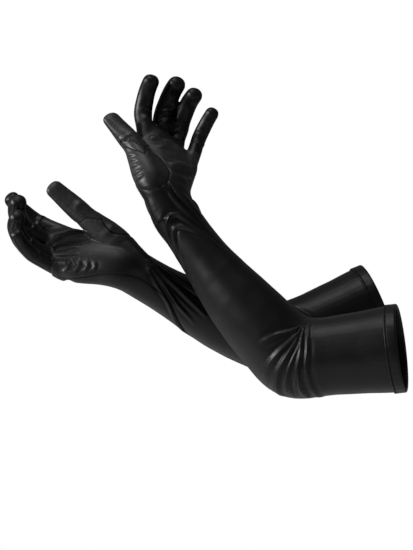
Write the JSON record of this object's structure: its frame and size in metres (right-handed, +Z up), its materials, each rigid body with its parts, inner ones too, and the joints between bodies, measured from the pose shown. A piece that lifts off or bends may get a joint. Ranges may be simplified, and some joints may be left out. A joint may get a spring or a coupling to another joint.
{
  "type": "opera gloves",
  "caption": "Long black stretch-satin opera gloves that reach above the elbow, with fitted fingers, a sewn-in thumb gusset and a folded elastic hem.",
  "frame": {"origin": "centre of the left glove's arm opening", "axes": "+X from the hands towards the arm openings, +Y from the left glove to the right one, +Z up"},
  "size_m": [0.4741, 0.2816, 0.3818],
  "materials": {
    "glove_satin": "satin",
    "hem_satin": "satin",
    "elastic_knit": "matte"
  },
  "bodies": {
    "left_upper_sleeve": {"left_hem_band": "hem_satin", "left_hem_elastic": "elastic_knit", "left_upper_sleeve_front": "glove_satin", "left_upper_sleeve_back": "glove_satin"},
    "left_forearm": {"left_forearm_sleeve_front": "glove_satin", "left_forearm_sleeve_back": "glove_satin", "left_elbow_bunch": "glove_satin"},
    "left_hand": {"left_palm": "glove_satin", "left_hand_back": "glove_satin", "left_thumb_gusset": "glove_satin", "left_wrist_bunch": "glove_satin", "left_thumb_bunch": "glove_satin", "left_knuckle_bunch": "glove_satin", "left_fourchette_index_middle": "glove_satin", "left_fourchette_middle_ring": "glove_satin", "left_fourchette_ring_little": "glove_satin"},
    "left_thumb": {"left_thumb_front": "glove_satin", "left_thumb_back": "glove_satin"},
    "left_index": {"left_index_front": "glove_satin", "left_index_back": "glove_satin"},
    "left_middle": {"left_middle_front": "glove_satin", "left_middle_back": "glove_satin"},
    "left_ring": {"left_ring_front": "glove_satin", "left_ring_back": "glove_satin"},
    "left_little": {"left_little_front": "glove_satin", "left_little_back": "glove_satin"},
    "right_upper_sleeve": {"right_hem_band": "hem_satin", "right_hem_elastic": "elastic_knit", "right_upper_sleeve_front": "glove_satin", "right_upper_sleeve_back": "glove_satin"},
    "right_forearm": {"right_forearm_sleeve_front": "glove_satin", "right_forearm_sleeve_back": "glove_satin", "right_elbow_bunch": "glove_satin"},
    "right_hand": {"right_palm": "glove_satin", "right_hand_back": "glove_satin", "right_thumb_gusset": "glove_satin", "right_wrist_bunch": "glove_satin", "right_thumb_bunch": "glove_satin", "right_knuckle_bunch": "glove_satin", "right_fourchette_index_middle": "glove_satin", "right_fourchette_middle_ring": "glove_satin", "right_fourchette_ring_little": "glove_satin"},
    "right_thumb": {"right_thumb_front": "glove_satin", "right_thumb_back": "glove_satin"},
    "right_index": {"right_index_front": "glove_satin", "right_index_back": "glove_satin"},
    "right_middle": {"right_middle_front": "glove_satin", "right_middle_back": "glove_satin"},
    "right_ring": {"right_ring_front": "glove_satin", "right_ring_back": "glove_satin"},
    "right_little": {"right_little_front": "glove_satin", "right_little_back": "glove_satin"}
  },
  "joints": [
    {"name": "left_elbow_bend", "type": "hinge", "parent": "left_upper_sleeve", "child": "left_forearm", "pos_m": [-0.12276, 0.02404, -0.01507], "axis": [0.1969, 0.9795, -0.0416], "range_deg": [-5, 28], "deforming": ["left_elbow_bunch"]},
    {"name": "left_wrist_bend", "type": "hinge", "parent": "left_forearm", "child": "left_hand", "pos_m": [-0.26971, 0.06143, 0.16967], "axis": [0.9084, 0.3419, -0.2405], "range_deg": [-15, 60], "deforming": ["left_wrist_bunch"]},
    {"name": "left_thumb_bend", "type": "hinge", "parent": "left_hand", "child": "left_thumb", "pos_m": [-0.30989, 0.08198, 0.23823], "axis": [0.3545, 0.935, -0.0072], "range_deg": [-10, 25], "deforming": ["left_thumb_bunch"]},
    {"name": "left_index_bend", "type": "hinge", "parent": "left_hand", "child": "left_index", "pos_m": [-0.29672, 0.10853, 0.25614], "axis": [0.8986, 0.4204, -0.1256], "range_deg": [-12, 50], "deforming": ["left_knuckle_bunch", "left_fourchette_index_middle"]},
    {"name": "left_middle_bend", "type": "hinge", "parent": "left_hand", "child": "left_middle", "pos_m": [-0.27784, 0.11696, 0.24788], "axis": [0.9082, 0.3521, -0.2263], "range_deg": [-12, 50], "deforming": ["left_knuckle_bunch", "left_fourchette_index_middle", "left_fourchette_middle_ring"]},
    {"name": "left_ring_bend", "type": "hinge", "parent": "left_hand", "child": "left_ring", "pos_m": [-0.25785, 0.11973, 0.23982], "axis": [0.9067, 0.3001, -0.2963], "range_deg": [-12, 50], "deforming": ["left_knuckle_bunch", "left_fourchette_middle_ring", "left_fourchette_ring_little"]},
    {"name": "left_little_bend", "type": "hinge", "parent": "left_hand", "child": "left_little", "pos_m": [-0.23657, 0.11895, 0.23382], "axis": [0.8867, 0.2009, -0.4163], "range_deg": [-12, 50], "deforming": ["left_knuckle_bunch", "left_fourchette_ring_little"]},
    {"name": "right_elbow_bend", "type": "hinge", "parent": "right_upper_sleeve", "child": "right_forearm", "pos_m": [-0.12897, 0.17002, 0.00097], "axis": [-0.2661, 0.854, 0.4471], "range_deg": [-51, 5], "deforming": ["right_elbow_bunch"]},
    {"name": "right_wrist_bend", "type": "hinge", "parent": "right_forearm", "child": "right_hand", "pos_m": [-0.32036, 0.06151, 0.09432], "axis": [0.3244, 0.6366, 0.6997], "range_deg": [-15, 60], "deforming": ["right_wrist_bunch"]},
    {"name": "right_thumb_bend", "type": "hinge", "parent": "right_hand", "child": "right_thumb", "pos_m": [-0.37098, 0.06946, 0.15703], "axis": [0.6633, 0.0486, 0.7468], "range_deg": [-10, 25], "deforming": ["right_thumb_bunch"]},
    {"name": "right_index_bend", "type": "hinge", "parent": "right_hand", "child": "right_index", "pos_m": [-0.40339, 0.10317, 0.13668], "axis": [0.4528, 0.5967, 0.6625], "range_deg": [-12, 42], "deforming": ["right_knuckle_bunch", "right_fourchette_index_middle"]},
    {"name": "right_middle_bend", "type": "hinge", "parent": "right_hand", "child": "right_middle", "pos_m": [-0.40801, 0.08801, 0.12113], "axis": [0.3409, 0.6322, 0.6957], "range_deg": [-12, 28], "deforming": ["right_knuckle_bunch", "right_fourchette_index_middle", "right_fourchette_middle_ring"]},
    {"name": "right_ring_bend", "type": "hinge", "parent": "right_hand", "child": "right_ring", "pos_m": [-0.41002, 0.07154, 0.10682], "axis": [0.2408, 0.6552, 0.716], "range_deg": [-12, 20], "deforming": ["right_knuckle_bunch", "right_fourchette_middle_ring", "right_fourchette_ring_little"]},
    {"name": "right_little_bend", "type": "hinge", "parent": "right_hand", "child": "right_little", "pos_m": [-0.41017, 0.05162, 0.09787], "axis": [0.1725, 0.6666, 0.7252], "range_deg": [-12, 40], "deforming": ["right_knuckle_bunch", "right_fourchette_ring_little"]},
    {"name": "right_glove_apart", "type": "slide", "parent": "left_upper_sleeve", "child": "right_upper_sleeve", "axis": [0, 1, 0], "range_m": [0, 0.25]}
  ]
}
